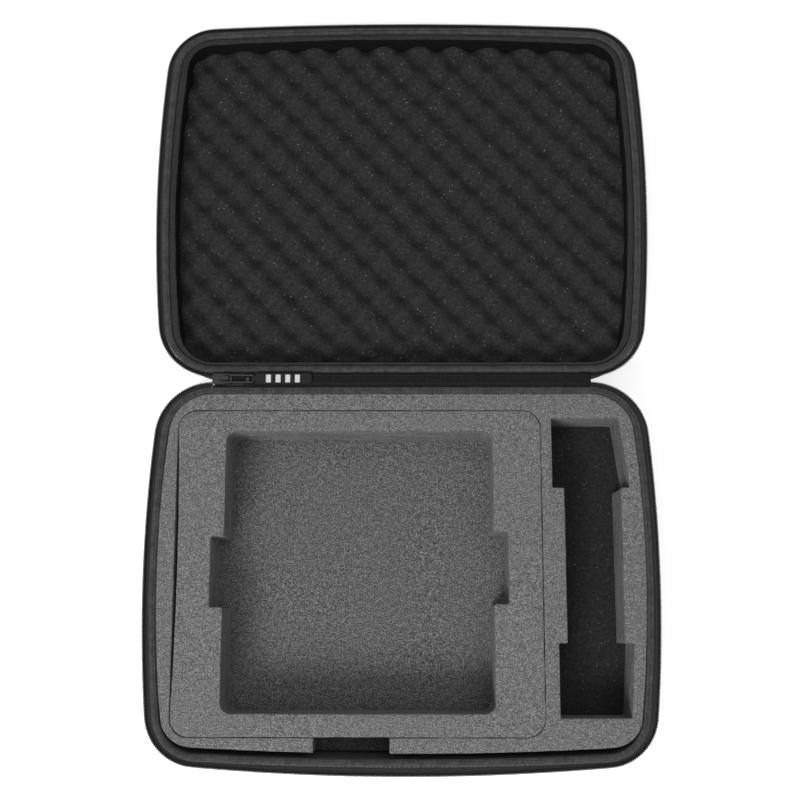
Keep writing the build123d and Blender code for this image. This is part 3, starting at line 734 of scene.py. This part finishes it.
print("tray")
tray = cutBlock("trayFoam", trayLoops(), trayFoam, "greyFoam")
mount(tray, "tray", "grey_foam", "tray_foam", fill=1.0)
# the pocket's floor sheet is drawn in the darker foam, painted shade
trayFloor = cutBlock("trayFloor", trayLoops()[:1], floorSheet, "paintedShadeFloorFoam")
mount(trayFloor, "tray", "grey_foam", "tray_floor", fill=1.0)

print("underlay")
underPlan = offsetLoop(shellPlan(case["baseFront"], 5.0), underlay["inset"])
underHole = roundedLoop(rect(*underlay["hole"]), underlay["corner"], 5.0)
# the underlay is drawn in the darker foam, painted shade
foamUnderlay = cutBlock("foamUnderlay", [underPlan, underHole], underlay, "paintedShadeUnderlayFoam")
# faces at the bottom of the finger gap get the paler foam, painted light
foamUnderlay.data.materials.append(materials["paintedLightGapFoam"])
for face in foamUnderlay.data.polygons:
    x, y, _ = face.center / mm
    if ringFoam["notch"][0] < x < ringFoam["notch"][1] and y < underlay["hole"][2]:
        face.material_index = 1
mount(foamUnderlay, "base", "black_foam", "foam_underlay", fill=1.0)

# Foam in the lid: a flat sheet, and on it the convoluted sheet whose relief follows a rule.
egg = {
    "halfWidth": 206.9, "front": -152.1, "back": 157.6, "corners": (24.8, 31.8),
    "low": 20.0, "top": 44.0, "edge": 0.3, "grid": 2.3, "wallStep": 12.0, "smooth": 80,
    "relief": 6.0, "pitch": 33.4, "row": 17.55, "narrow": 1.5, "unevenness": 3.0, "crease": 60,
}
backing = {
    "halfWidth": 201.9, "front": -147.1, "back": 152.6, "corners": (20.0, 27.0),
    "low": 4.2, "top": 19.9, "edge": 0.5, "grid": 12.0,
}


def eggTree():
    # raises the marked points by cos(x) cos(y), which gives staggered peaks and hollows
    tree, given = newTree("convolutedRelief", {
        "Sheet": "Geometry", "Pitch": "Float", "Row": "Float", "Relief": "Float", "Narrow pits": "Float",
        "Centre": "Vector", "Unevenness": "Float", "Material": "Material"})
    place = addNode(tree, "GeometryNodeInputPosition")
    # the rows wander a little, over about 45 mm
    wander = addNode(tree, "ShaderNodeTexNoise", {"Vector": place, "Scale": 22.0, "Detail": 1.0})
    centred = addNode(tree, "ShaderNodeVectorMath", {0: wander.outputs["Color"], 1: (0.5, 0.5, 0.5)},
                      operation="SUBTRACT")
    drift = addNode(tree, "ShaderNodeVectorMath", {0: centred, "Scale": given["Unevenness"]}, operation="SCALE")
    moved = addNode(tree, "ShaderNodeVectorMath", {0: place, 1: given["Centre"]}, operation="SUBTRACT")
    shifted = addNode(tree, "ShaderNodeVectorMath", {0: moved, 1: drift})
    split = addNode(tree, "ShaderNodeSeparateXYZ", {"Vector": shifted})
    waves = []
    for axis, size, turns in (("X", given["Pitch"], 2 * math.pi), ("Y", given["Row"], math.pi)):
        share = addNode(tree, "ShaderNodeMath", {0: split.outputs[axis], 1: size}, operation="DIVIDE")
        angle = addNode(tree, "ShaderNodeMath", {0: share, 1: turns}, operation="MULTIPLY")
        waves.append(addNode(tree, "ShaderNodeMath", {0: angle}, operation="COSINE"))
    product = addNode(tree, "ShaderNodeMath", {0: waves[0], 1: waves[1]}, operation="MULTIPLY")
    # depth from the peaks as a share from 0 to 1, drawn together towards the pits, and back to -1 to 1
    depth = addNode(tree, "ShaderNodeMapRange", {"Value": product, "From Min": 1.0, "From Max": -1.0})
    drawn = addNode(tree, "ShaderNodeMath", {0: depth, 1: given["Narrow pits"]}, operation="POWER")
    shape = addNode(tree, "ShaderNodeMath", {0: drawn, 1: -2.0, 2: 1.0}, operation="MULTIPLY_ADD")
    raised = addNode(tree, "ShaderNodeMath", {0: shape, 1: given["Relief"]}, operation="MULTIPLY")
    mark = addNode(tree, "GeometryNodeInputNamedAttribute", {"Name": "surface"}, data_type="FLOAT")
    height = addNode(tree, "ShaderNodeMath", {0: raised, 1: mark.outputs["Attribute"]}, operation="MULTIPLY")
    offset = addNode(tree, "ShaderNodeCombineXYZ", {"Z": height})
    bent = addNode(tree, "GeometryNodeSetPosition", {"Geometry": given["Sheet"], "Offset": offset})
    return endTree(tree, bent, given["Material"])


print("egg-crate foam")
eggSheet = cutBlock("eggSheet", [foamPlan(egg, 2.2)], egg, "blackFoam", flip=True)
mark = eggSheet.data.attributes.new("surface", "FLOAT", "POINT")
heights = np.empty(len(eggSheet.data.vertices) * 3)
eggSheet.data.vertices.foreach_get("co", heights)
mark.data.foreach_set("value", (heights[2::3] > (egg["top"] - egg["edge"] - 0.1) * mm).astype(np.float32))
eggCentre = (0.0, (2 * spineY - (egg["front"] + egg["back"]) / 2) * mm, 0.0)
eggMesh = grown(eggSheet, eggTree(), {
    "Pitch": egg["pitch"] * mm, "Row": egg["row"] * mm, "Relief": egg["relief"] * mm, "Narrow pits": egg["narrow"],
    "Centre": eggCentre, "Unevenness": egg["unevenness"] * mm, "Material": materials["blackFoam"]})
shadeSmooth(eggMesh, egg["crease"])
mount(newObject("eggCrateFoam", eggMesh), "lid", "black_foam", "egg_crate_foam", fill=1.0)
lidBacking = cutBlock("lidBackingFoam", [foamPlan(backing, 6.0)], backing, "blackFoam", flip=True)
mount(lidBacking, "lid", "black_foam", "lid_backing_foam", fill=1.0)

print("lid padding")
padding = {
    "halfWidth": 207.1, "front": -152.3, "back": 157.8, "corners": (25.0, 32.0), "inset": 5.6,
    "low": 21.0, "top": 64.2, "edge": 1.3, "grid": 4.0, "wallStep": 6.0, "lift": (18, 0.5, 6.0), "rough": 0.5,
}
padOuter = offsetLoop(shellPlan(case["lidFront"], 4.0), padding["inset"])
lidPadding = cutBlock("lidPadding", [padOuter, foamPlan(padding, 4.0)], padding, "lining", flip=True)
# upright faces get the darker lining, painted shade on the wall
lidPadding.data.materials.append(materials["paintedShadeWallLining"])
for face in lidPadding.data.polygons:
    if abs(face.normal.z) < 0.3:
        face.material_index = 1
mount(lidPadding, "lid", "lining", "lid_padding", fill=0.9)

# The binding is a ribbed tape folded over the shell's edge and sewn through.
binding = {
    "out": 0.9, "inside": 5.2, "depth": 5.5, "round": 1.9, "step": 1.6, "seam": 2.9,
    "side": [(0.25, 0.0), (0.0, 0.5), (0.0, 1.6), (0.12, 2.1), (0.0, 2.6)],  # pressed in, and how far up
    "pucker": 0.2, "wander": 0.105,
}


def bindingProfile():
    top, low = case["rim"], case["rim"] - binding["depth"]
    o, i, r = binding["out"], -binding["inside"], binding["round"]
    quarter = [math.pi / 2 * k / 4 for k in range(5)]
    points = [(o - inward, low + up) for inward, up in binding["side"]]
    points += [(o - r + r * math.cos(a), top - r + r * math.sin(a)) for a in quarter]
    points += [(i + r - r * math.sin(a), top - r + r * math.cos(a)) for a in quarter]
    return points + [(i + inward, low + up) for inward, up in binding["side"][::-1]]


def pucker(along, o, z):
    # the tape draws in a little at each stitch, and wanders slowly
    tight = math.cos(2 * math.pi * along / stitch["pitch"]) * binding["pucker"]
    slow = binding["wander"] * noise.noise(Vector((along * 0.02, 3.1, 0.0)))
    reach = (o - (binding["out"] - binding["inside"]) / 2) / 3.0
    return tight * 0.5 * reach, (tight * 0.4 + slow) * (1.0 if z > case["rim"] - 2.5 else 0.0)


halves = (("base", case["baseFront"], False), ("lid", case["lidFront"], True))

print("bindings")
for half, front, flip in halves:
    edgeTape = sweep(half + "RimBinding", shellPlan(front, binding["step"]), bindingProfile(), "bindingTape",
                     flip=flip, wave=pucker)
    mount(edgeTape, half, "binding_fabric", half + "_rim_binding")
    plan = shellPlan(front, 3.0)
    seam = [(x, y, case["rim"] + 0.1) for x, y in offsetLoop(plan + plan[:1], binding["seam"])]
    seamRow = rowAlong(half + "BindingStitches", [seam], stitch, flip)
    mount(seamRow, half, "binding_fabric")

# Zip: a woven tape that flares out from the rim, with the coil on its edge.
zipParts = {
    "halfWidth": 225.0, "back": 171.7, "corners": (46.0, 51.0), "endX": 169.4,
    "base": (-168.5, 12.0), "lid": (-167.6, 7.0),  # front edge, and how far it bows
    "tapeStart": 0.15, "tapeEdge": 0.9, "tapeLow": 62.8, "tapeHigh": 64.6, "thick": 0.8, "step": 2.5,
    "dip": 0.55, "ripple": 0.25, "coilIn": 1.35,
}


def evenly(path, n):
    # n places along the path, evenly spaced
    lengths = lengthsAlong(path)
    out, k = [], 0
    for i in range(n):
        want = lengths[-1] * i / (n - 1)
        while k < len(lengths) - 2 and lengths[k + 1] < want:
            k += 1
        t = (want - lengths[k]) / (lengths[k + 1] - lengths[k])
        out.append(tuple(u + (v - u) * t for u, v in zip(path[k], path[k + 1])))
    return out


def zipBand(half, front, flip):
    z = zipParts
    teethFront, bow = z[half]
    inner = shellPlan(front, z["step"], z["endX"])
    outer = caseOutline({**z, "front": teethFront, "frontSag": bow}, z["step"], z["endX"])
    count = max(len(inner), len(outer))
    inner, outer = evenly(inner, count), evenly(outer, count)
    start, end = binding["out"] + z["tapeStart"], -z["tapeEdge"]
    shares = [0.0, 0.25, 0.5, 0.75, 1.0]
    section = [(s, z["thick"]) for s in shares] + [(s, 0.0) for s in shares[::-1]]
    verts, uvs = [], []
    for along, p, q in zip(lengthsAlong(outer), inner, outer):
        a = (p[0] + p[2] * start, p[1] + p[3] * start)
        b = (q[0] + q[2] * end, q[1] + q[3] * end)
        wide = math.hypot(b[0] - a[0], b[1] - a[1])
        for s, thick in section:
            sag = -z["dip"] * math.sin(math.pi * s) + z["ripple"] * noise.noise(Vector((along * 0.03, s, 7.0)))
            height = z["tapeLow"] + (z["tapeHigh"] - z["tapeLow"]) * s + sag + thick
            verts.append((a[0] + (b[0] - a[0]) * s, a[1] + (b[1] - a[1]) * s, height))
            uvs.append((along, s * wide))
    faces = bandFaces(count, len(section))
    return finishMesh(half + "ZipTape", verts, faces, "zipTape", 50, uvs, flip), outer


print("zips")
for half, front, flip in halves:
    band, outer = zipBand(half, front, flip)
    mount(band, half, "zip_tape_fabric", half + "_zip_tape")
    middle = zipParts["tapeHigh"] + zipParts["thick"] / 2
    path = [(x, y, middle) for x, y in offsetLoop(outer, zipParts["coilIn"])]
    row = rowAlong(half + "ZipTeeth", [path], tooth, flip)
    mount(row, half, "zip_coil", half + "_zip_teeth")

# The hinge cloth is sewn down the outside of each half and turns over the fold onto the spine.
clothFoot = [(166.35, 45.0), (166.9, 52.0), (167.35, 60.0)]
hinge = {
    "half": 165.0, "flapHalf": 169.1, "left": -127.5, "thick": 0.8,
    "line": clothFoot + [(168.0, 62.4), (168.3, 63.9), (169.0, 64.8), (170.8, 65.05), (173.8, 65.1)],
    # beside the slider the cloth is cut short, and its edge stands up close to the slider's side
    "cutLine": clothFoot + [(167.9, 61.6), (168.3, 62.6), (168.6, 63.4), (168.75, 64.1), (168.8, 64.8)],
    "cutX": (-142.0, -140.5),
    # at its very end the cloth reaches on into the slider's round corner
    "endLine": clothFoot + [(167.9, 61.6), (168.3, 62.6), (168.7, 63.6), (169.1, 64.5), (170.3, 64.9)],
    "endX": (-168.5, -167.6),
    "top": [(168.9, 65.5), (169.7, 65.95), (171.4, 66.15), (174.0, 66.2), (176.6, 66.15), (178.3, 65.95),
            (179.1, 65.5)],
    "blendStart": 167.6, "blendEnd": 170.2,
    "seams": [(167.4, 47.0), (168.1, 58.5)], "topSeams": [(170.4, 66.2), (177.6, 66.2)], "seamEnd": 2, "tabEnd": 9,
    "rivetX": 68.0, "rivetRadius": 4.2, "rivetRise": 0.45, "rivetEase": 0.5, "rivetDot": 1.5, "dotDepth": 0.9,
}


def clothStrip(name, line, x0, x1, thick, key, step, wave, seed, flip=False, relief=None, lineAt=None):
    # cloth along X; line is its (y, z) section, and the thickness lies to its right, or to its left if negative
    verts, uvs = [], []
    around, normals = lengthsAlong(line), leftNormals(line)
    section = [(k, 0.0) for k in range(len(line))]
    section += [(k, thick) for k, _ in section[::-1]]
    columns = max(2, round((x1 - x0) / step))
    for c in range(columns + 1):
        x = x0 + (x1 - x0) * c / columns
        if lineAt:
            line = lineAt(x)
            normals = leftNormals(line)
        for k, depth in section:
            (y, z), (ny, nz) = line[k], normals[k]
            d = depth + wave * noise.noise(Vector((x * 0.05, around[k] * 0.12, seed)))
            verts.append((x, y - ny * d, z - nz * d + (relief(x, y) if relief else 0.0)))
            uvs.append((x, around[k]))
    return finishMesh(name, verts, bandFaces(columns + 1, len(section)), key, 50, uvs, flip)


def rivetMark(x, y):
    # the cloth stands up over each rivet's washer, with a dot pressed in at the middle
    r = min(math.hypot(x - side * hinge["rivetX"], y - spineY) for side in (-1, 1))
    rise = hinge["rivetRise"] * max(0.0, min(1.0, hinge["rivetRadius"] + hinge["rivetEase"] - r))
    return rise - hinge["dotDepth"] * max(0.0, 1.0 - r / hinge["rivetDot"])


def hingeLineAt(x):
    line = hinge["endLine"]
    for (first, last), goal in ((hinge["endX"], "cutLine"), (hinge["cutX"], "line")):
        share = max(0.0, min(1.0, (x - first) / (last - first)))
        line = [tuple(u + (v - u) * share for u, v in zip(a, b)) for a, b in zip(line, hinge[goal])]
    return line


print("spine")
for half, flip, node in (("base", False, "base_hinge_flap"), ("lid", True, "lid_hinge_flap")):
    cloth = clothStrip(half + "HingeCloth", hinge["line"], -hinge["flapHalf"], hinge["flapHalf"], -hinge["thick"],
                       "hingeCloth", step=0.5, wave=0.2, seed=2.0 if flip else 5.0, flip=flip, lineAt=hingeLineAt)
    start, end = [2 * spineY - y if flip else y for y in (hinge["blendStart"], hinge["blendEnd"])]
    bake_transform(cloth)
    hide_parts(node)
    end = hinge["half"] - hinge["seamEnd"]
    seams = [[(-end, y, z), (end, y, z)] for y, z in hinge["seams"]]
    seam = rowAlong(half + "HingeStitches", seams, stitch, flip)
    mount(seam, half, "shell_fabric")

spineCloth = clothStrip("spineLining", resample(hinge["top"], 0.6, closed=False), hinge["left"], hinge["half"], 0.8,
                        "hingeCloth", step=0.8, wave=0.2, seed=8.0, relief=rivetMark)
mount(spineCloth, "spine", "lining", "spine_lining", "spine_fabric")
seams = [[(hinge["left"] + hinge["seamEnd"], y, z), (hinge["half"] - hinge["tabEnd"], y, z)]
         for y, z in hinge["topSeams"]]
mount(rowAlong("spineStitches", seams, stitch), "spine", "lining")

# The tab sewn over the free end of the tapes, and the zip's closed end.
zipEnds = {
    "tabX": (158.2, 168.0), "tab": [(168.5, 66.45), (169.6, 67.05), (174.0, 67.3), (178.4, 67.05), (179.5, 66.45)],
    "stubX": (-155.8, -127.9),
    "stub": [(168.5, 65.3), (170.5, 65.55), (174.0, 65.6), (177.5, 65.55), (179.5, 65.3)],
    "coilX": (-155.3, -139.6), "coilY": 172.75,
}
tab = clothStrip("zipEndTab", zipEnds["tab"], *zipEnds["tabX"], 1.0, "hingeCloth", step=1.5, wave=0.15, seed=3.0)
mount(tab, "spine", "shell_fabric", "zip_end_tab")
stub = clothStrip("zipClosedTape", zipEnds["stub"], *zipEnds["stubX"], 0.7, "zipTape", step=2.0, wave=0.1, seed=4.0)
mount(stub, "spine", "zip_tape_fabric", "zip_closed_end")
first, last = zipEnds["coilX"]
for side, shift, flip in (("Front", 0.0, False), ("Back", tooth["pitch"] / 2, True)):
    path = [(first + shift, zipEnds["coilY"], foldZ), (last, zipEnds["coilY"], foldZ)]
    row = rowAlong("zipClosedTeeth" + side, [path], tooth, flip)
    mount(row, "spine", "zip_coil")

# The strap is a flat ribbed webbing that dips from rivet to rivet and runs through the grip.
strap = {
    "end": 76.0, "knee": 60.0, "foot": 52.0, "top": 60.8, "low": 38.8, "bend": 7.0,
    "width": 6.0, "thick": 2.8, "chamfer": (0.5, 0.8),
}


def roundedLine(points, radius, count=6):
    # an open line with round bends, as (x, z, normal x, normal z)
    line = [points[0]]
    for corner in zip(points, points[1:], points[2:]):
        start, end, centre = bend(*[Vector(p) for p in corner], radius)
        for k in range(count + 1):
            spoke = start.lerp(end, k / count) - centre
            line.append(tuple(centre + spoke.normalized() * radius))
    line.append(points[-1])
    return [p + normal for p, normal in zip(line, leftNormals(line))]


print("handle")
strapPoints = [(-strap["end"], strap["top"]), (-strap["knee"], strap["top"]), (-strap["foot"], strap["low"]),
               (strap["foot"], strap["low"]), (strap["knee"], strap["top"]), (strap["end"], strap["top"])]
t, w = strap["thick"] / 2, strap["width"] / 2
ct, cw = strap["chamfer"]
strapSection = [(-t, w - cw), (ct - t, w), (t - ct, w), (t, w - cw), (t, cw - w), (t - ct, -w), (ct - t, -w),
                (-t, cw - w)]
webbing = sweep("handleStrap", roundedLine(strapPoints, strap["bend"]),
                [(o, y - spineY) for o, y in strapSection], "webbing", closed=False)
webbing.data.transform(Matrix.Rotation(math.pi / 2, 4, "X"))
mount(webbing, "spine", "handle_webbing", "handle_strap")

# Hardware and moulded pieces keep their solids and get their finishes.
for name, key in (("handle_washers", "steel"), ("handle_rivets", "steel"), ("zip_bottom_stop", "zinc"),
                  ("zip_slider", "zinc"), ("slider_bail", "zinc"), ("pull_badge", "palePanel"),
                  ("handle_end_plates", "softPvc"), ("handle_grip", "softPvc"), ("zip_pull", "softPvc")):
    paintNode(name, key)

for sizes in (stitch, tooth):
    bpy.data.objects.remove(sizes["piece"])

# Floor, light and camera.
print("stage")
ground = {"reach": 6.0, "z": -0.0005}  # metres
floorMesh = bpy.data.meshes.new("floor")
floorMesh.from_pydata([(x * ground["reach"], y * ground["reach"], ground["z"])
                       for x, y in ((-1, -1), (1, -1), (1, 1), (-1, 1))], [], [(0, 1, 2, 3)])
floor = newObject("floor", floorMesh)


def seenStraight(tree):
    # 1 for what the camera or a mirror sees, 0 for the light that falls on the case
    path = addNode(tree, "ShaderNodeLightPath").outputs
    return addNode(tree, "ShaderNodeMath", {0: path["Is Camera Ray"], 1: path["Is Glossy Ray"]}, operation="MAXIMUM")


def paleFloor():
    # white studio floor that keeps the shadow; the camera and mirrors see it as plain white paper
    material, tree, _ = newMaterial("studioPaper", 0.9, specular=0.1)
    shader = tree.nodes["Principled BSDF"]
    shader.inputs["Base Color"].default_value = linear("#e9e9e9")
    strength = addNode(tree, "ShaderNodeMath", {0: seenStraight(tree), 1: 0.68}, operation="MULTIPLY")
    glow = addNode(tree, "ShaderNodeEmission", {"Color": (1, 1, 1, 1), "Strength": strength})
    both = addNode(tree, "ShaderNodeAddShader", {0: shader, 1: glow})
    tree.links.new(both.outputs[0], tree.nodes["Material Output"].inputs["Surface"])
    return material


floor.data.materials.append(paleFloor())

world = bpy.data.worlds.new("studio")
bpy.context.scene.world = world
world.use_nodes = True
sky = world.node_tree
sky.nodes.clear()
level = addNode(sky, "ShaderNodeMapRange", {"Value": seenStraight(sky), "To Min": 0.27, "To Max": 1.0})
sheet = addNode(sky, "ShaderNodeBackground", {"Color": (1, 1, 1, 1), "Strength": level})
addNode(sky, "ShaderNodeOutputWorld", {"Surface": sheet})

lamps = {
    # name: place in metres, size, power in watts
    "frontSoftbox": ((-0.9, -1.5, 1.9), 1.1, 46.0),
    "topSoftbox": ((0.3, 0.1, 2.6), 2.0, 16.0),
}
for name, (place, size, power) in lamps.items():
    data = bpy.data.lights.new(name, "AREA")
    data.size = size
    data.energy = power
    lamp = newObject(name, data)
    lamp.location = place
    aim = Vector((0.0, 0.1, 0.05)) - Vector(place)
    lamp.rotation_euler = aim.to_track_quat("-Z", "Y").to_euler()

# The camera stands almost above the base, turned and tipped a little as in the photograph.
lens = {"place": (7.47, -46.55, 1169.1), "tilt": 0.181, "yaw": -0.0424, "roll": 0.0423, "focalPixels": 1260.0,
        "imagePixels": 800.0, "sensor": 36.0}
ct, st = math.cos(lens["tilt"]), math.sin(lens["tilt"])
cw, sw = math.cos(lens["yaw"]), math.sin(lens["yaw"])
axis = Vector((sw * st, cw * st, -ct))
right = Vector((cw, -sw, 0.0))
down = axis.cross(right)
cr, sr = math.cos(lens["roll"]), math.sin(lens["roll"])
acrossImage = cr * right + sr * down
downImage = -sr * right + cr * down
cameraData = bpy.data.cameras.new("camera")
cameraData.sensor_width = lens["sensor"]
cameraData.lens = lens["focalPixels"] * lens["sensor"] / lens["imagePixels"]
cameraData.clip_start = 0.01
camera = newObject("camera", cameraData)
turn = Matrix((acrossImage, -downImage, -axis)).transposed().to_4x4()
camera.matrix_world = Matrix.Translation(Vector(lens["place"]) * mm) @ turn
bpy.context.scene.camera = camera
bpy.context.scene.view_settings.view_transform = "Standard"
